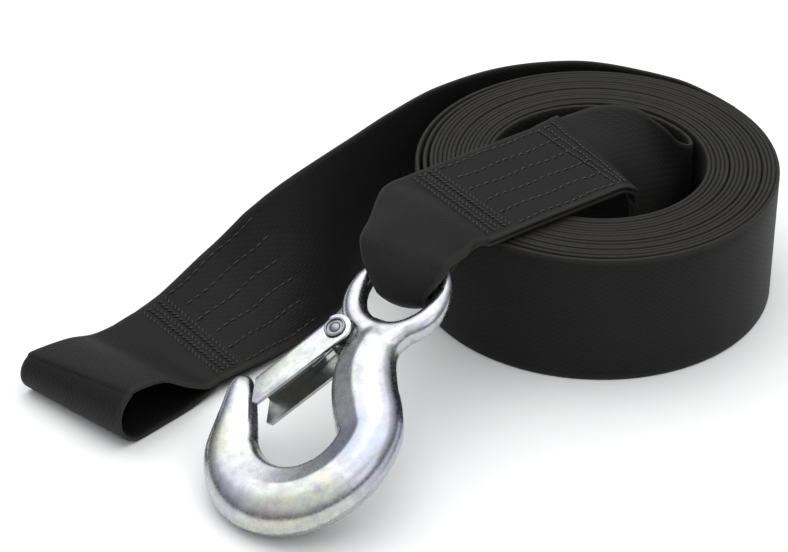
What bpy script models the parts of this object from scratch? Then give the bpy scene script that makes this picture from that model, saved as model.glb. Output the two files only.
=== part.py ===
"""Winch strap: 50 mm webbing wound in a coil, a sewn drum loop, and a forged snap hook in a sewn eye.

Metres, +Z up. The strap stands on its edge on the floor. The coil's axis is vertical, the drum end
runs out along -X behind it, and the hook end crosses the coil's rim and hangs out along -X in front.
"""
import math

import bmesh
import bpy
from mathutils import Matrix, Vector

MM = 0.001

# The webbing and its coil.
WEB_WIDTH = 50.0 * MM
WEB_THICK = 1.5 * MM
COIL_INNER_RADIUS = 37.3 * MM
COIL_TURNS = 16
COIL_PITCH = 1.66 * MM
COIL_START_DEG = -25.0
COIL_END_DEG = -20.0
COIL_STEPS_PER_TURN = 36
PLY_GAP = 0.3 * MM
PLY_PITCH = WEB_THICK + PLY_GAP

# The coil's axis, seen from the middle of the whole object's footprint.
COIL_X = 63.0 * MM
COIL_Y = -28.8 * MM

# The drum end: the outermost turn peels off the coil, lies down and ends in a sewn loop.
# Each row is x, y and z of the strip's middle, in mm from the coil's axis at the floor, and its lean
# in degrees: 90 stands on edge, 0 lies flat.
TAIL_ROUTE = (
    (60.95, -22.20, 25.0, 90.0),
    (65.0, -8.0, 25.0, 90.0),
    (66.5, 8.0, 25.0, 90.0),
    (61.0, 35.0, 25.0, 90.0),
    (51.0, 51.0, 25.0, 90.0),
    (34.0, 65.5, 25.0, 90.0),
    (10.0, 75.5, 25.0, 90.0),
    (-15.0, 77.5, 25.0, 86.0),
    (-40.0, 76.0, 24.5, 76.0),
    (-65.0, 75.0, 23.0, 59.0),
    (-84.0, 78.5, 18.0, 38.0),
    (-100.0, 83.5, 12.0, 20.0),
    (-116.0, 88.0, 7.5, 7.0),
    (-127.5, 91.0, 5.8, 2.5),
)
DRUM_SEAM_LENGTH = 58.0 * MM
DRUM_LOOP_DIRECTION_DEG = 172.0
# The loop's side view: distance from the seam and height of the strip's middle, in mm, first along
# its upper ply and then back along its lower ply; between them it turns round the bight.
DRUM_LOOP_UPPER = ((3.0, 5.6), (9.0, 6.0), (18.0, 8.8), (29.0, 14.2))
DRUM_LOOP_LOWER = ((30.0, 0.75), (20.0, 0.75), (11.0, 2.0), (4.0, 3.6))
DRUM_LOOP_REACH = 49.5
DRUM_LOOP_RADIUS = 8.0
DRUM_LOOP_TWIST = 12.0

# The sewing: long rows along each seam, and close cross rows at its loop end.
THREAD_RADIUS = 0.4 * MM
LONG_ROWS = 6
CROSS_ROWS = 4
CROSS_PITCH = 2.6 * MM
CROSS_CLEAR = 2.0 * MM
SEAM_MARGIN = 3.5 * MM
DRUM_SEWN_LENGTH = 50.0 * MM
HOOK_SEWN_LENGTH = 50.5 * MM
THREAD_BENDS = 7

# The hook end: the innermost turn climbs out of the coil, lies over its rim and ends in a sewn eye.
LEAD_DIRECTION_DEG = 160.6
LEAD_ROUTE = (
    (34.4, -16.2, 25.0, 90.0),
    (31.5, -20.5, 25.0, 90.0),
    (27.0, -23.0, 26.0, 88.0),
    (21.0, -22.0, 29.5, 78.0),
    (15.0, -15.5, 36.0, 56.0),
    (9.0, -6.5, 45.0, 32.0),
    (2.5, -1.5, 50.0, 12.0),
    (-4.0, 1.4, 52.1, 3.0),
    (-9.43, 3.32, 52.25, 0.0),
)
LEAD_HINGE_REACH = 10.0 * MM
LEAD_REACH = 66.0 * MM
RIM_GAP = 1.5 * MM
EYE_CUT_REACH = 12.5 * MM
EYE_STRAIGHT = 2.5 * MM
EYE_PITCH_DEG = 10.0
# The webbing is gathered where it turns round the ring: narrower and thicker, all in mm.
EYE_WIDTH = 18.0
EYE_THICK = 3.4
EYE_REACH = 13.5
EYE_HEIGHT = 9.0
# Behind the ring's bar: distance, height, width and thickness of each gathered row, and how far it
# has turned from the lead's direction to the ring's.
EYE_GATHER = (
    (17.0, 5.4, 39.0, 1.9, 0.4),
    (8.0, 8.0, 27.0, 2.6, 0.8),
)

# The hook lies in its own plane: +X from the ring to the bowl, +Y across, +Z its upper face.
RING_CENTRE = Vector((-104.6, 11.7, 46.3)) * MM
HOOK_AZIMUTH_DEG = 196.5
HOOK_PITCH_DEG = 22.8
HOOK_ROLL_DEG = 13.5
RING_INNER_RADIUS = 12.3 * MM
RING_BAR_RADIUS = 2.8 * MM
RING_RADIUS = RING_INNER_RADIUS + RING_BAR_RADIUS
BOWL_CENTRE = (57.0, -18.0)
# Along, across, half width and half thickness in mm, from the ring's root to the bowl.
SHANK_ROWS = (
    (12.5, 0.5, 5.6, 2.9),
    (16.5, 0.0, 7.6, 4.4),
    (22.0, -1.0, 8.6, 6.4),
    (31.0, -2.2, 9.8, 7.4),
    (41.0, 0.3, 10.9, 7.9),
    (50.0, 4.6, 11.3, 8.1),
)
# Angle round the bowl, radius to the bar's middle, half width and half thickness.
BOWL_ROWS = (
    (0.0, 25.2, 10.6, 8.2),
    (22.0, 25.3, 10.8, 8.2),
    (45.0, 25.6, 11.2, 8.2),
    (68.0, 26.0, 11.7, 8.2),
    (90.0, 26.0, 11.8, 8.1),
    (112.0, 25.5, 11.4, 7.9),
    (134.0, 24.8, 10.5, 7.5),
    (156.0, 24.3, 9.4, 6.8),
    (175.0, 24.2, 8.1, 6.0),
)
TIP_ROWS = (
    (50.0, -43.8, 6.3, 5.2),
    (43.5, -45.4, 4.9, 4.4),
    (39.0, -46.3, 3.4, 3.2),
    (37.0, -46.6, 1.6, 1.6),
)
RING_STEPS = 36
RING_SIDES = 12
ROUND_SIDES = 24
BAR_SIDES = 16
BAR_SQUARENESS = 2.4

# The latch, its pin and its spring, about the pivot in the hook's plane.
PIVOT = (19.6 * MM, -15.4 * MM)
LATCH_DIRECTION_DEG = -33.6
LATCH_WIDTH = 14.0 * MM
LATCH_SHEET = 1.3 * MM
LATCH_EAR_RADIUS = 5.4 * MM
LATCH_LENGTH = 36.0 * MM
LATCH_NOSE_DROP = 2.0 * MM
LATCH_WEB_END = (29.5 * MM, 7.6 * MM)
LUG_RADIUS = 4.6 * MM
LUG_THICK = 6.0 * MM
LUG_ROOT = Vector((0.4 * MM, 3.2 * MM, 0.0))
# The latch is a channel: its inside starts this far past the pin, where its closed back begins.
LATCH_BACK_START = 7.0 * MM
THROUGH = 40.0 * MM
PIN_RADIUS = 1.75 * MM
PIN_HOLE_RADIUS = 2.1 * MM
PIN_HEAD_RADIUS = 3.8 * MM
PIN_HEAD_THICK = 1.0 * MM
PIN_HEAD_BEVEL = 0.4 * MM
PIN_BORE_RADIUS = 1.0 * MM
PIN_BORE_TAPER = 0.2 * MM
PIN_BORE_DEPTH = 3.0 * MM
SPRING_WIRE_RADIUS = 0.45 * MM
SPRING_COIL_RADIUS = 3.0 * MM
SPRING_LEG = 13.0 * MM
SPRING_TAIL = 4.0 * MM
SPRING_TURN_POINTS = 12
SPRING_TURNS = 1.25
SPRING_COIL_GAP = 0.06 * MM

UP = Vector((0.0, 0.0, 1.0))
COIL_AXIS = Vector((COIL_X, COIL_Y, 0.0))


def clear_scene():
    for item in list(bpy.data.objects):
        bpy.data.objects.remove(item, do_unlink=True)


def material(name, colour, roughness, metallic):
    made = bpy.data.materials.new(name)
    made.use_nodes = True
    shader = made.node_tree.nodes["Principled BSDF"]
    shader.inputs["Base Color"].default_value = (*colour, 1.0)
    shader.inputs["Roughness"].default_value = roughness
    shader.inputs["Metallic"].default_value = metallic
    return made


def webbing_material(name):
    return material(name, (0.022, 0.021, 0.020), 0.7, 0.0)


def thread_material(name):
    return material(name, (0.010, 0.010, 0.011), 0.5, 0.0)


def zinc_material(name):
    return material(name, (0.66, 0.68, 0.70), 0.32, 1.0)


def add_object(name, mesh_builder, made_of, smooth=True):
    mesh = bpy.data.meshes.new(name)
    bmesh.ops.recalc_face_normals(mesh_builder, faces=mesh_builder.faces)
    mesh_builder.to_mesh(mesh)
    mesh_builder.free()
    if smooth:
        mesh.shade_smooth()
        mesh.set_sharp_from_angle(angle=math.radians(40.0))
    mesh.materials.append(made_of)
    made = bpy.data.objects.new(name, mesh)
    bpy.context.scene.collection.objects.link(made)
    return made


def loft(rings, closed=False):
    """Join rings of points, each with the same count, into one closed body."""
    builder = bmesh.new()
    rows = [[builder.verts.new(point) for point in ring] for ring in rings]
    pairs = list(zip(rows, rows[1:]))
    if closed:
        pairs.append((rows[-1], rows[0]))
    for lower, upper in pairs:
        count = len(lower)
        for index in range(count):
            following = (index + 1) % count
            builder.faces.new((lower[index], lower[following], upper[following], upper[index]))
    if not closed:
        builder.faces.new(rows[0])
        builder.faces.new(rows[-1])
    return builder


def smooth_points(rows, steps):
    """Catmull-Rom through rows of numbers, with steps points for each stretch."""
    padded = [rows[0], *rows, rows[-1]]
    result = []
    for index in range(1, len(padded) - 2):
        before, start, end, after = padded[index - 1:index + 3]
        for step in range(steps):
            t = step / steps
            result.append(tuple(
                0.5 * (2 * b + (c - a) * t + (2 * a - 5 * b + 4 * c - d) * t * t
                       + (3 * b - a - 3 * c + d) * t ** 3)
                for a, b, c, d in zip(before, start, end, after)))
    result.append(tuple(rows[-1]))
    return result


def flat_direction(angle_deg):
    angle = math.radians(angle_deg)
    return Vector((math.cos(angle), math.sin(angle), 0.0))


class Row:
    """One cross-section of the strip: its middle, the way across it, its face's normal and its size."""

    def __init__(self, centre, across, normal, width=WEB_WIDTH, thick=WEB_THICK, returning=False):
        self.centre = centre
        self.across = across.normalized()
        self.normal = normal.normalized()
        self.width = width
        self.thick = thick
        self.returning = returning

    def point(self, across, height):
        return self.centre + self.across * across + self.normal * height

    def outline(self, columns):
        """Points round the section: along its upper face, then back along its lower face."""
        places = [self.width * (0.5 - index / columns) for index in range(columns + 1)]
        upper = [self.point(place, self.thick / 2) for place in places]
        lower = [self.point(place, -self.thick / 2) for place in reversed(places)]
        return upper + lower


def strip(name, rows, columns=4):
    """A closed strip through the rows.

    Its triangles' diagonals run the same way on an outgoing and a returning ply, so that two
    twisted plies keep the same gap all over.
    """
    builder = bmesh.new()
    rings = [[builder.verts.new(point) for point in row.outline(columns)] for row in rows]
    count = len(rings[0])
    for row, lower, upper in zip(rows[1:], rings, rings[1:]):
        for index in range(count):
            following = (index + 1) % count
            a, b, c, d = lower[index], lower[following], upper[following], upper[index]
            if row.returning != (index > columns):
                a, b, c, d = b, c, d, a
            builder.faces.new((a, b, c))
            builder.faces.new((a, c, d))
    builder.faces.new(rings[0])
    builder.faces.new(rings[-1])
    return add_object(name, builder, webbing_material(name + "_webbing"))


def route_rows(route, steps):
    """Rows along a route of x, y, z and lean, whose strip leans over to the right of its heading."""
    points = smooth_points(route, steps)
    places = [Vector(point[:3]) * MM + COIL_AXIS for point in points]
    rows = []
    for index, place in enumerate(places):
        heading = places[min(index + 1, len(places) - 1)] - places[max(index - 1, 0)]
        heading.normalize()
        lean = math.radians(points[index][3])
        right = heading.cross(UP).normalized()
        across = right * math.cos(lean) + UP * math.sin(lean)
        rows.append(Row(place, across, across.cross(heading)))
    return rows


def coil_rows():
    rows = []
    sweep_deg = 360.0 * COIL_TURNS + COIL_END_DEG - COIL_START_DEG
    count = round(sweep_deg * COIL_STEPS_PER_TURN / 360.0)
    for index in range(count + 1):
        turned = sweep_deg * index / count
        radius = COIL_INNER_RADIUS + WEB_THICK / 2 + COIL_PITCH * turned / 360.0
        outward = flat_direction(COIL_START_DEG + turned)
        centre = COIL_AXIS + outward * radius + UP * WEB_WIDTH / 2
        rows.append(Row(centre, UP, -outward))
    return rows


def trim(rows, gap_start, gap_end):
    """Draw a strip's ends in, so it stays clear of the strips it carries on from."""
    first = (rows[1].centre - rows[0].centre).normalized()
    last = (rows[-1].centre - rows[-2].centre).normalized()
    rows[0].centre = rows[0].centre + first * gap_start
    rows[-1].centre = rows[-1].centre - last * gap_end
    return rows


def make_coil():
    return strip("strap_coil", trim(coil_rows(), PLY_GAP, PLY_GAP), columns=1)


def tail_rows():
    return route_rows(TAIL_ROUTE, 6)


def rows_from_end(rows, length):
    """The rows within a length of the strip's last row."""
    kept = [rows[-1]]
    left = length
    for row in reversed(rows[:-1]):
        left -= (kept[-1].centre - row.centre).length
        if left < 0:
            break
        kept.append(row)
    return kept


def make_tail():
    return strip("strap_tail", trim(tail_rows(), PLY_GAP, PLY_GAP))


def loop_side():
    """The loop's side view, from the seam out along the upper ply and back along the lower one."""
    side = list(DRUM_LOOP_UPPER)
    crown = DRUM_LOOP_REACH - DRUM_LOOP_RADIUS
    middle = WEB_THICK / MM / 2 + DRUM_LOOP_RADIUS
    for angle in range(90, -91, -20):
        turned_by = math.radians(angle)
        side.append((crown + DRUM_LOOP_RADIUS * math.cos(turned_by),
                     middle + DRUM_LOOP_RADIUS * math.sin(turned_by)))
    return side + list(DRUM_LOOP_LOWER)


def make_drum_loop():
    """The strip carries on from the tail, turns round and comes back under it as the lower ply."""
    rows = tail_rows()
    last = rows[-1]
    heading = flat_direction(DRUM_LOOP_DIRECTION_DEG)
    level = heading.cross(UP)
    side = loop_side()
    made = []
    for index, (along, height) in enumerate(side):
        before = side[max(index - 1, 0)]
        after = side[min(index + 1, len(side) - 1)]
        slope = heading * (after[0] - before[0]) + UP * (after[1] - before[1])
        centre = last.centre + heading * along * MM
        centre.z = height * MM
        across = last.across.lerp(level, min(along / DRUM_LOOP_TWIST, 1.0))
        made.append(Row(centre, across, across.cross(slope), returning=slope.dot(heading) < 0))
    for row in rows_from_end(rows, DRUM_SEAM_LENGTH):
        made.append(Row(row.point(0.0, -PLY_PITCH), row.across, -row.normal, returning=True))
    return strip("drum_loop", made)


def lead_direction():
    return flat_direction(LEAD_DIRECTION_DEG)


def lead_row(reach, ply):
    """A row of the flat sewn stretch, a reach from the coil's axis; ply 0 lies on the rim."""
    forward = lead_direction()
    height = WEB_WIDTH + RIM_GAP + WEB_THICK / 2 + ply * PLY_PITCH
    centre = COIL_AXIS + forward * reach + UP * height
    return Row(centre, forward.cross(UP), UP)


def make_lead_root():
    return strip("strap_lead_root", trim(route_rows(LEAD_ROUTE, 5), PLY_GAP, PLY_GAP))


def make_lead():
    rows = [lead_row(LEAD_HINGE_REACH + PLY_GAP, 0), lead_row(LEAD_REACH, 0)]
    return strip("strap_lead", rows)


def turned(azimuth_deg, pitch_deg, roll_deg):
    azimuth = Matrix.Rotation(math.radians(azimuth_deg), 4, "Z")
    pitch = Matrix.Rotation(math.radians(pitch_deg), 4, "Y")
    roll = Matrix.Rotation(math.radians(roll_deg), 4, "X")
    return azimuth @ pitch @ roll


def swing_matrix():
    """The hook's own frame, on the middle of the ring's bar where the sewn eye holds it."""
    turn = turned(HOOK_AZIMUTH_DEG, HOOK_PITCH_DEG, HOOK_ROLL_DEG)
    bar = turn @ Vector((-RING_RADIUS, 0.0, 0.0))
    return Matrix.Translation(RING_CENTRE + COIL_AXIS + bar) @ turn


def eye_matrix():
    """The sewn eye's frame: round the same bar, more level than the hook."""
    turn = turned(HOOK_AZIMUTH_DEG, EYE_PITCH_DEG, HOOK_ROLL_DEG)
    return Matrix.Translation(swing_matrix().translation) @ turn


def make_hook_eye():
    """The strip leaves the lower ply, turns round the ring's bar and comes back as the upper ply."""
    frame = eye_matrix()
    turn = frame.to_3x3()
    out = turn @ Vector((1.0, 0.0, 0.0))
    across = turn @ Vector((0.0, -1.0, 0.0))
    above = turn @ UP
    lower = lead_row(LEAD_REACH, 0)
    upper = lead_row(LEAD_REACH, 1)

    def gathered(along, height, normal, width, thick, share=1.0):
        centre = frame @ Vector((along * MM, 0.0, height * MM))
        return Row(centre, lower.across.lerp(across, share), normal, width * MM, thick * MM)

    made = [Row(lower.centre + lead_direction() * reach, lower.across, UP)
            for reach in (PLY_GAP, EYE_STRAIGHT)]
    made += [gathered(-along, -height, above, width, thick, share)
             for along, height, width, thick, share in EYE_GATHER]
    for angle in range(-80, 81, 20):
        c = math.cos(math.radians(angle))
        s = math.sin(math.radians(angle))
        made.append(gathered(EYE_REACH * c, EYE_HEIGHT * s, -(out * c + above * s),
                             EYE_WIDTH, EYE_THICK))
    made += [gathered(-along, height, -above, width, thick, share)
             for along, height, width, thick, share in reversed(EYE_GATHER)]
    made.append(Row(upper.centre + lead_direction() * EYE_STRAIGHT, upper.across, -UP))
    made.append(Row(lead_row(EYE_CUT_REACH, 1).centre, upper.across, -UP))
    return strip("hook_eye", made)


def bar_ring(centre, across, upward, half_width, half_thick):
    """A rounded-square section of the forging."""
    points = []
    for index in range(BAR_SIDES):
        angle = 2 * math.pi * index / BAR_SIDES
        c = math.cos(angle)
        s = math.sin(angle)
        flat = math.copysign(abs(c) ** (2 / BAR_SQUARENESS), c) * half_width
        tall = math.copysign(abs(s) ** (2 / BAR_SQUARENESS), s) * half_thick
        points.append(centre + across * flat + upward * tall)
    return points


def hook_spine():
    """Middle and size of the hook's bar, from the ring's root round the bowl to the tip."""
    rows = [tuple(value * MM for value in row) for row in SHANK_ROWS]
    for angle, radius, half_width, half_thick in BOWL_ROWS:
        turned = math.radians(angle)
        along = BOWL_CENTRE[0] + radius * math.sin(turned)
        across = BOWL_CENTRE[1] + radius * math.cos(turned)
        rows.append((along * MM, across * MM, half_width * MM, half_thick * MM))
    rows += [tuple(value * MM for value in row) for row in TIP_ROWS]
    return rows


def make_bowl():
    spine = hook_spine()
    rings = []
    for index, (along, across, half_width, half_thick) in enumerate(spine):
        before = spine[max(index - 1, 0)]
        after = spine[min(index + 1, len(spine) - 1)]
        heading = Vector((after[0] - before[0], after[1] - before[1], 0.0)).normalized()
        sideways = UP.cross(heading)
        rings.append(bar_ring(Vector((along, across, 0.0)), sideways, UP, half_width, half_thick))
    return add_object("hook_body", loft(rings), zinc_material("hook_body_zinc"))


def make_ring():
    rings = []
    for index in range(RING_STEPS):
        angle = 2 * math.pi * index / RING_STEPS
        outward = Vector((math.cos(angle), math.sin(angle), 0.0))
        rings.append(round_ring(outward * RING_RADIUS, outward, UP, RING_BAR_RADIUS, RING_SIDES))
    return add_object("ring_tool", loft(rings, closed=True), zinc_material("ring_tool_zinc"))


def round_ring(centre, across, upward, radius, sides):
    points = []
    for index in range(sides):
        angle = 2 * math.pi * index / sides
        points.append(centre + across * radius * math.cos(angle) + upward * radius * math.sin(angle))
    return points


def cylinder(name, centre, radius, length, sides, made_of):
    """A round bar across the hook's plane, its axis along the plane's normal."""
    side = Vector((1.0, 0.0, 0.0))
    ahead = Vector((0.0, 1.0, 0.0))
    rings = [round_ring(centre + UP * length * share, side, ahead, radius, sides)
             for share in (-0.5, 0.5)]
    return add_object(name, loft(rings), made_of)


def extrude_outline(name, outline, half_depth, made_of):
    rings = [[Vector((x, y, z)) for x, y in outline] for z in (-half_depth, half_depth)]
    return add_object(name, loft(rings), made_of, smooth=False)


def as_tool(item):
    item.hide_render = True
    item.display_type = "WIRE"
    return item


def combine(item, tool, operation):
    step = item.modifiers.new(operation.lower() + "_" + tool.name, "BOOLEAN")
    step.operation = operation
    step.solver = "EXACT"
    step.object = as_tool(tool)


def put_on(item, parent, place=(0.0, 0.0, 0.0)):
    item.parent = parent
    item.location = place
    return item


def hang_on(items, hinge):
    """Parent pieces that are modelled in place to the empty on their joint's axis."""
    for item in items:
        item.parent = hinge
        item.matrix_parent_inverse = hinge.matrix_world.inverted()


def make_empty(name, matrix):
    empty = bpy.data.objects.new(name, None)
    empty.matrix_world = matrix
    bpy.context.scene.collection.objects.link(empty)
    return empty


def make_hook_body(frame):
    pivot = Vector((*PIVOT, 0.0))
    centre = (RING_RADIUS, 0.0, 0.0)
    body = put_on(make_bowl(), frame, centre)
    ring = put_on(make_ring(), frame, centre)
    zinc = body.data.materials[0]
    root = pivot + LUG_ROOT
    lug = put_on(cylinder("lug_tool", pivot, LUG_RADIUS, LUG_THICK, ROUND_SIDES, zinc), frame, centre)
    web = put_on(cylinder("lug_web_tool", root, LUG_RADIUS, LUG_THICK, ROUND_SIDES, zinc), frame, centre)
    hole = put_on(cylinder("pin_hole_tool", pivot, PIN_HOLE_RADIUS, THROUGH, ROUND_SIDES,
                           zinc), frame, centre)
    combine(body, ring, "UNION")
    combine(body, lug, "UNION")
    combine(body, web, "UNION")
    combine(body, hole, "DIFFERENCE")
    return body


def latch_outline():
    """Side view of the latch about its pivot: +X to the nose, +Y to its closed back."""
    points = []
    for angle in range(90, 271, 20):
        turned = math.radians(angle)
        points.append((LATCH_EAR_RADIUS * math.cos(turned), LATCH_EAR_RADIUS * math.sin(turned)))
    points.append((LATCH_LENGTH, -LATCH_NOSE_DROP))
    points.append((LATCH_LENGTH + 0.8 * MM, 0.0))
    points.append(LATCH_WEB_END)
    return points


def make_latch(frame):
    latch = extrude_outline("latch", latch_outline(), LATCH_WIDTH / 2, zinc_material("latch_zinc"))
    inner = LATCH_WIDTH / 2 - LATCH_SHEET
    back = LATCH_EAR_RADIUS - LATCH_SHEET
    rise = (LATCH_WEB_END[1] - LATCH_EAR_RADIUS) / LATCH_WEB_END[0]
    channel = [(-THROUGH, THROUGH), (-THROUGH, -THROUGH), (THROUGH, -THROUGH),
               (THROUGH, back + rise * THROUGH),
               (LATCH_BACK_START, back + rise * LATCH_BACK_START), (LATCH_BACK_START, THROUGH)]
    cavity = extrude_outline("latch_cavity_tool", channel, inner, latch.data.materials[0])
    bore = cylinder("latch_bore_tool", Vector(), PIN_HOLE_RADIUS, THROUGH, ROUND_SIDES,
                    latch.data.materials[0])
    combine(latch, cavity, "DIFFERENCE")
    combine(latch, bore, "DIFFERENCE")
    for item in (latch, cavity, bore):
        put_on(item, frame)
    return latch


def make_pin(frame):
    """A tubular rivet: its two heads outside the latch's ears, hollow at the upper end."""
    ear_face = LATCH_WIDTH / 2 + PLY_GAP
    head_face = ear_face + PIN_HEAD_THICK
    profile = [(0.0, -head_face), (PIN_HEAD_RADIUS, -head_face), (PIN_HEAD_RADIUS, -ear_face),
               (PIN_RADIUS, -ear_face), (PIN_RADIUS, ear_face), (PIN_HEAD_RADIUS, ear_face),
               (PIN_HEAD_RADIUS - PIN_HEAD_BEVEL, head_face), (PIN_BORE_RADIUS, head_face),
               (PIN_BORE_RADIUS - PIN_BORE_TAPER, head_face - PIN_BORE_DEPTH),
               (0.0, head_face - PIN_BORE_DEPTH)]
    builder = bmesh.new()
    points = [builder.verts.new((radius, 0.0, height)) for radius, height in profile]
    edges = [builder.edges.new(pair) for pair in zip(points, points[1:])]
    bmesh.ops.spin(builder, geom=points + edges, cent=(0, 0, 0), axis=(0, 0, 1),
                   angle=2 * math.pi, steps=ROUND_SIDES, use_merge=True)
    bmesh.ops.remove_doubles(builder, verts=builder.verts, dist=0.00001)
    return put_on(add_object("latch_pin", builder, zinc_material("latch_pin_zinc")), frame)


def make_spring(frame):
    """A torsion spring round the pin, beside the lug, one leg under the latch's back."""
    wire = 2 * SPRING_WIRE_RADIUS
    level = LUG_THICK / 2 + PLY_GAP + SPRING_WIRE_RADIUS
    path = [Vector((SPRING_LEG, SPRING_COIL_RADIUS, level)),
            Vector((SPRING_LEG / 2, SPRING_COIL_RADIUS, level))]
    for index in range(int(SPRING_TURNS * SPRING_TURN_POINTS) + 1):
        angle = math.pi / 2 + 2 * math.pi * index / SPRING_TURN_POINTS
        lift = (wire + SPRING_COIL_GAP) * index / SPRING_TURN_POINTS
        path.append(Vector((SPRING_COIL_RADIUS * math.cos(angle),
                            SPRING_COIL_RADIUS * math.sin(angle), level + lift)))
    path.append(path[-1] + Vector((0.0, -SPRING_TAIL, 0.0)))
    rings = []
    for index, point in enumerate(path):
        heading = (path[min(index + 1, len(path) - 1)] - path[max(index - 1, 0)]).normalized()
        side = heading.cross(UP).normalized()
        rings.append(round_ring(point, side, side.cross(heading), SPRING_WIRE_RADIUS, 8))
    return put_on(add_object("latch_spring", loft(rings), zinc_material("latch_spring_steel")), frame)


def thread(name, rows_at, length, height, bends=0):
    """One sewing thread over a seam: long rows up and down, then close rows across the loop's end.

    rows_at gives the strip's row at a distance from the loop's end, and each long row has bends + 1
    straight stretches, to follow the strip where it leans.
    """
    points = []
    spread = WEB_WIDTH - 2 * SEAM_MARGIN
    start = CROSS_PITCH * CROSS_ROWS + CROSS_CLEAR
    stops = [start + (length - start) * step / (bends + 1) for step in range(bends + 2)]
    for index in range(LONG_ROWS):
        across = spread * (index / (LONG_ROWS - 1) - 0.5)
        ordered = stops[::-1] if index % 2 else stops
        points += [rows_at(stop).point(across, height) for stop in ordered]
    for index in range(CROSS_ROWS):
        reach = CROSS_PITCH * (CROSS_ROWS - index)
        sides = (0.5, 0.0, -0.5) if index % 2 == 0 else (-0.5, 0.0, 0.5)
        points += [rows_at(reach).point(spread * side, height) for side in sides]
    return wire(name, points)


def wire(name, points):
    curve = bpy.data.curves.new(name, "CURVE")
    curve.dimensions = "3D"
    curve.bevel_depth = THREAD_RADIUS
    curve.bevel_resolution = 1
    curve.use_fill_caps = True
    spline = curve.splines.new("POLY")
    spline.points.add(len(points) - 1)
    for slot, point in zip(spline.points, points):
        slot.co = (*point, 1.0)
    curve.materials.append(thread_material(name + "_polyester"))
    made = bpy.data.objects.new(name, curve)
    bpy.context.scene.collection.objects.link(made)
    return made


def row_lookup(rows):
    """A function giving the row at a distance from the first row, blended between its neighbours."""
    def at(distance):
        left = distance
        for here, ahead in zip(rows, rows[1:]):
            span = (ahead.centre - here.centre).length
            if left <= span:
                share = left / span
                return Row(here.centre.lerp(ahead.centre, share),
                           here.across.lerp(ahead.across, share),
                           here.normal.lerp(ahead.normal, share))
            left -= span
        return rows[-1]
    return at


def make_drum_end():
    """The tail and its loop turn on a vertical hinge where the outermost turn leaves the coil."""
    tail = make_tail()
    loop = make_drum_loop()
    stand_off = WEB_THICK / 2 + PLY_GAP + THREAD_RADIUS
    seam = row_lookup(list(reversed(tail_rows())))
    sewn = DRUM_SEWN_LENGTH
    upper = thread("drum_seam_upper_thread", seam, sewn, stand_off, THREAD_BENDS)
    lower = thread("drum_seam_lower_thread", seam, sewn, -stand_off - PLY_PITCH, THREAD_BENDS)
    outward = flat_direction(COIL_END_DEG)
    hinge = tail_rows()[0].centre + outward * WEB_THICK / 2
    axis = make_empty("tail_hinge", Matrix.Translation(hinge))
    hang_on((tail, loop, upper, lower), axis)


def make_hook_end():
    """The sewn end of the lead turns on a level hinge across the middle of the coil."""
    lead = make_lead()
    eye = make_hook_eye()
    stand_off = WEB_THICK / 2 + PLY_GAP + THREAD_RADIUS
    seam = row_lookup([lead_row(LEAD_REACH, 0), lead_row(EYE_CUT_REACH, 0)])
    upper = thread("hook_seam_upper_thread", seam, HOOK_SEWN_LENGTH, stand_off + PLY_PITCH)
    lower = thread("hook_seam_lower_thread", seam, HOOK_SEWN_LENGTH, -stand_off)
    hinge = lead_row(LEAD_HINGE_REACH, 0).point(0.0, WEB_THICK / 2)
    hang_on((lead, eye, upper, lower), make_empty("lead_hinge", Matrix.Translation(hinge)))


def make_hook():
    swing = make_empty("hook_swing_axis", swing_matrix())
    pivot = Matrix.Translation(Vector((RING_RADIUS + PIVOT[0], PIVOT[1], 0.0)))
    turn = Matrix.Rotation(math.radians(LATCH_DIRECTION_DEG), 4, "Z")
    flip = Matrix.Rotation(math.pi, 4, "X")
    pin_frame = make_empty("pin_frame", swing_matrix() @ pivot)
    latch_frame = make_empty("latch_pivot_axis", swing_matrix() @ pivot @ turn @ flip)
    make_hook_body(swing)
    make_latch(latch_frame)
    make_pin(pin_frame)
    make_spring(latch_frame)


def build():
    clear_scene()
    make_coil()
    make_lead_root()
    make_drum_end()
    make_hook_end()
    make_hook()


build()
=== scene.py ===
"""The winch strap's looks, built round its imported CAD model.

Everything is in the row frame. The webbing is rebuilt as ribbons with rounded selvedges along the CAD
routes, the sewing as single stitches, and the hook as one smooth forging with a pressed latch.
"""
import math
import random

import bmesh
import bpy
from mathutils import Matrix, Vector


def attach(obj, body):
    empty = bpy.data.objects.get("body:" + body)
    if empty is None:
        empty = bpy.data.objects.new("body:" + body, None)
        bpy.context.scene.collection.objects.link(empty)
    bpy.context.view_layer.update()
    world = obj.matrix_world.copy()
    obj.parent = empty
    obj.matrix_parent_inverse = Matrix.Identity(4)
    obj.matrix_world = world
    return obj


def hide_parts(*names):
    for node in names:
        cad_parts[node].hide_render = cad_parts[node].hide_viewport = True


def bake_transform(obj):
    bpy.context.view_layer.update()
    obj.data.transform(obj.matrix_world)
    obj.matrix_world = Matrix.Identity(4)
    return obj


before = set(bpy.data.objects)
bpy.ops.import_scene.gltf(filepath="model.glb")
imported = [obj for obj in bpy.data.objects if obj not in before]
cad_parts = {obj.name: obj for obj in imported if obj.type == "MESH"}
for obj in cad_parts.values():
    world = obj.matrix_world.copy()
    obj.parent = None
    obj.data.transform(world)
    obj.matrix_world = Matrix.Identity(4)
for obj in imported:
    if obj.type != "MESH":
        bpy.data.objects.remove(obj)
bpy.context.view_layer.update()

MM = 0.001
UP = Vector((0.0, 0.0, 1.0))

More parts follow.
